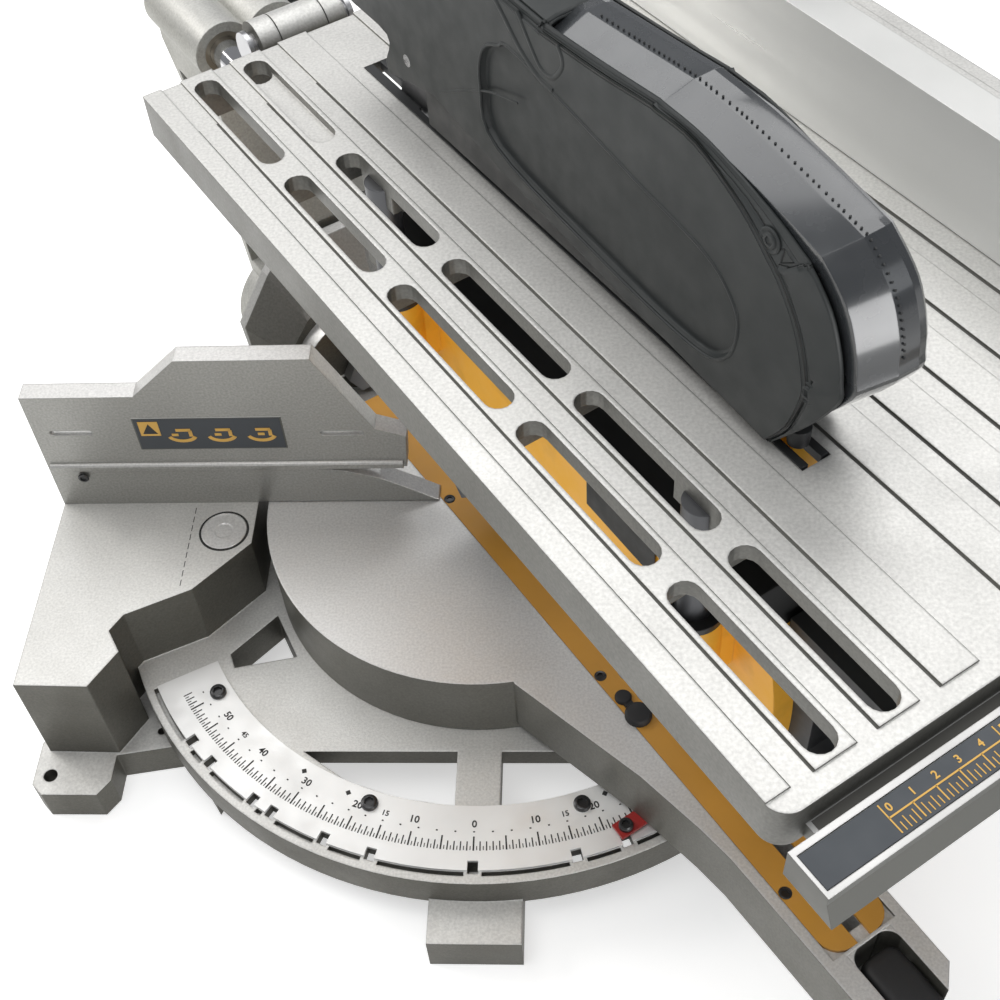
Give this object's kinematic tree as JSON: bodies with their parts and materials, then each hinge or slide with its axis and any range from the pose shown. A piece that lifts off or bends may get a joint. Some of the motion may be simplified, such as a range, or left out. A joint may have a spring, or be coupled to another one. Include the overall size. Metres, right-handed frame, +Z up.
{
  "type": "sliding mitre saw",
  "caption": "Sliding mitre saw: cast base with mitre scale and turntable, fences, tilting head on slide rails, belt-driven blade, upper table with blade guard, ruler rail and rip fence.",
  "frame": {"origin": "on the bench, on the turntable axis, midway between the four bench bolts", "axes": "+X to the right along the fence, +Y to the rear, +Z up"},
  "size_m": [0.7278, 0.8099, 0.498],
  "materials": {
    "cast": "sand-blasted die casting",
    "machined": "machined and cast",
    "table": "fine blasted, strips lightly polished",
    "rail_al": "satin anodised",
    "scale": "satin",
    "steel": "ground",
    "chrome": "polished",
    "blade": "brushed",
    "black_screw": "black oxide",
    "black": "fine grain",
    "grip": "soft grip",
    "guard": "semi-gloss dark grey",
    "hood": "glossy dark grey",
    "yellow": "powder coat",
    "yellow_plastic": "moulded",
    "kerf": "moulded",
    "red": "moulded",
    "green": "moulded",
    "bronze": "sintered",
    "copper": "wound",
    "belt": "ribbed belt",
    "guard_metal": "moulded guard",
    "label": "printed strip",
    "iron": "laminated core"
  },
  "bodies": {
    "base": {"base_casting": "cast", "miter_scale": "scale", "miter_scale_screws": "black_screw", "fixed_fence_left": "machined", "fixed_fence_right": "machined", "fence_bolts": "black_screw", "turntable_pivot_bolt": "black_screw"},
    "left_fence": {"sliding_fence": "machined"},
    "fence_knob": {"fence_lock_knob": "black"},
    "turntable": {"turntable_casting": "machined", "kerf_plates": "kerf", "kerf_plate_screws": "black_screw", "miter_pointer": "red", "bevel_scale": "scale", "bevel_pivot_bolt": "steel"},
    "latch": {"detent_latch": "steel"},
    "turn_lock": {"miter_lock_handle": "grip"},
    "tilt_arm": {"bevel_arm": "cast", "rail_bushings": "bronze"},
    "bevel_clamp": {"bevel_clamp_lever": "black"},
    "rail_knob": {"rail_lock_knob": "black"},
    "carriage": {"slide_rails": "chrome", "head_yoke": "cast", "rail_end_cap": "black", "head_pivot_pin": "steel"},
    "lock_pin": {"head_lock_pin": "black_screw"},
    "head": {"head_arm": "cast", "blade_housing": "yellow", "belt_cover": "black", "motor_housing": "yellow_plastic", "motor_end_cap": "black", "motor_stator": "iron", "shaft_bearings": "steel", "drive_belt": "belt", "handle_shell_left": "black", "handle_shell_right": "black", "riving_knife": "steel"},
    "arbor": {"arbor_shaft": "steel", "saw_blade": "blade", "blade_flanges": "steel", "arbor_bolt": "black_screw"},
    "rotor": {"motor_armature": "copper"},
    "blade_guard": {"lower_guard": "guard_metal"},
    "trigger_key": {"trigger": "black"},
    "lock_off": {"lock_off_button": "black"},
    "spindle_lock": {"spindle_lock_button": "black"},
    "bench": {"upper_table": "table", "table_posts": "chrome", "ruler_rail": "rail_al", "ruler_strip": "label", "switch_box": "yellow_plastic"},
    "bench_knob": {"table_lock_knob": "black"},
    "top_guard": {"guard_shell_left": "guard", "guard_shell_right": "guard", "guard_hood": "hood", "guard_pivot_pin": "steel"},
    "rip_fence": {"rip_fence_bar": "rail_al"},
    "rip_lever": {"rip_fence_lever": "black"},
    "start": {"start_button": "green"},
    "stop": {"stop_button": "red"}
  },
  "joints": [
    {"name": "left_fence_slide", "type": "slide", "parent": "base", "child": "left_fence", "axis": [1, 0, 0], "range_m": [-0.07, 0]},
    {"name": "fence_knob_turn", "type": "hinge", "parent": "base", "child": "fence_knob", "pos_m": [-0.145, 0.03, 0.148], "axis": [0, 1, 0], "range_deg": [0, 180]},
    {"name": "mitre_turn", "type": "hinge", "parent": "base", "child": "turntable", "pos_m": [0, 0, 0.1], "axis": [0, 0, 1], "range_deg": [-85.26, 14.74]},
    {"name": "detent_slide", "type": "slide", "parent": "turntable", "child": "latch", "axis": [0.5773, -0.8165, 0], "range_m": [-0.005, 0]},
    {"name": "mitre_lock_swing", "type": "hinge", "parent": "turntable", "child": "turn_lock", "pos_m": [0.20922, -0.29419, 0.085], "axis": [-0.8165, -0.5773, 0], "range_deg": [0, 35]},
    {"name": "bevel_tilt", "type": "hinge", "parent": "turntable", "child": "tilt_arm", "pos_m": [-0.127, 0.17964, 0.1], "axis": [0.5773, -0.8165, 0], "range_deg": [0, 45]},
    {"name": "bevel_clamp_swing", "type": "hinge", "parent": "tilt_arm", "child": "bevel_clamp", "pos_m": [-0.14548, 0.20577, 0.1], "axis": [0.5773, -0.8165, 0], "range_deg": [-25, 25]},
    {"name": "rail_knob_turn", "type": "hinge", "parent": "tilt_arm", "child": "rail_knob", "pos_m": [-0.11865, 0.24923, 0.305], "axis": [0.8165, 0.5773, 0], "range_deg": [0, 180]},
    {"name": "rail_slide", "type": "slide", "parent": "tilt_arm", "child": "carriage", "axis": [0.5773, -0.8165, 0], "range_m": [-0.06, 0.155]},
    {"name": "lock_pin_slide", "type": "slide", "parent": "carriage", "child": "lock_pin", "axis": [-0.8165, -0.5773, 0], "range_m": [-0.012, 0]},
    {"name": "chop", "type": "hinge", "parent": "carriage", "child": "head", "pos_m": [-0.09294, 0.13146, 0.35], "axis": [-0.8165, -0.5773, 0], "range_deg": [0, 45]},
    {"name": "arbor_spin", "type": "hinge", "parent": "head", "child": "arbor", "pos_m": [0.06928, -0.09799, 0.24], "axis": [-0.8165, -0.5773, 0], "continuous": true},
    {"name": "motor_spin", "type": "hinge", "parent": "head", "child": "rotor", "pos_m": [0.17451, -0.09094, 0.274], "axis": [-0.8165, -0.5773, 0], "continuous": true},
    {"name": "lower_guard_turn", "type": "hinge", "parent": "head", "child": "blade_guard", "pos_m": [0.06928, -0.09799, 0.24], "axis": [-0.8165, -0.5773, 0], "range_deg": [0, 100]},
    {"name": "trigger_pull", "type": "slide", "parent": "head", "child": "trigger_key", "axis": [0.5773, -0.8165, 0], "range_m": [0, 0.004], "stiffness_N_per_m": 400},
    {"name": "lock_off_press", "type": "slide", "parent": "head", "child": "lock_off", "axis": [0.8165, 0.5773, 0], "range_m": [0, 0.003], "stiffness_N_per_m": 300},
    {"name": "spindle_lock_press", "type": "slide", "parent": "head", "child": "spindle_lock", "axis": [-0.8165, -0.5773, 0], "range_m": [0, 0.0018], "stiffness_N_per_m": 300},
    {"name": "table_height", "type": "slide", "parent": "head", "child": "bench", "axis": [0, 0, 1], "range_m": [-0.05, 0]},
    {"name": "table_knob_turn", "type": "hinge", "parent": "head", "child": "bench_knob", "pos_m": [0.0936, -0.23632, 0.282], "axis": [0.8165, 0.5773, 0], "range_deg": [0, 180]},
    {"name": "top_guard_lift", "type": "hinge", "parent": "head", "child": "top_guard", "pos_m": [-0.00462, 0.00653, 0.416], "axis": [-0.8165, -0.5773, 0], "range_deg": [0, 30]},
    {"name": "rip_fence_slide", "type": "slide", "parent": "bench", "child": "rip_fence", "axis": [0.8165, 0.5773, 0], "range_m": [-0.1, 0.06]},
    {"name": "rip_lever_swing", "type": "hinge", "parent": "rip_fence", "child": "rip_lever", "pos_m": [0.36152, -0.26122, 0.365], "axis": [-0.8165, -0.5773, 0], "range_deg": [0, 40]},
    {"name": "start_press", "type": "slide", "parent": "bench", "child": "start", "axis": [-0.5773, 0.8165, 0], "range_m": [0, 0.002], "stiffness_N_per_m": 250},
    {"name": "stop_press", "type": "slide", "parent": "bench", "child": "stop", "axis": [-0.5773, 0.8165, 0], "range_m": [0, 0.003], "stiffness_N_per_m": 250}
  ],
  "couplings": [
    {"joint": "motor_spin", "follows": "arbor_spin", "ratio": 1.7333},
    {"joint": "lower_guard_turn", "follows": "chop", "ratio": 2.2222}
  ]
}
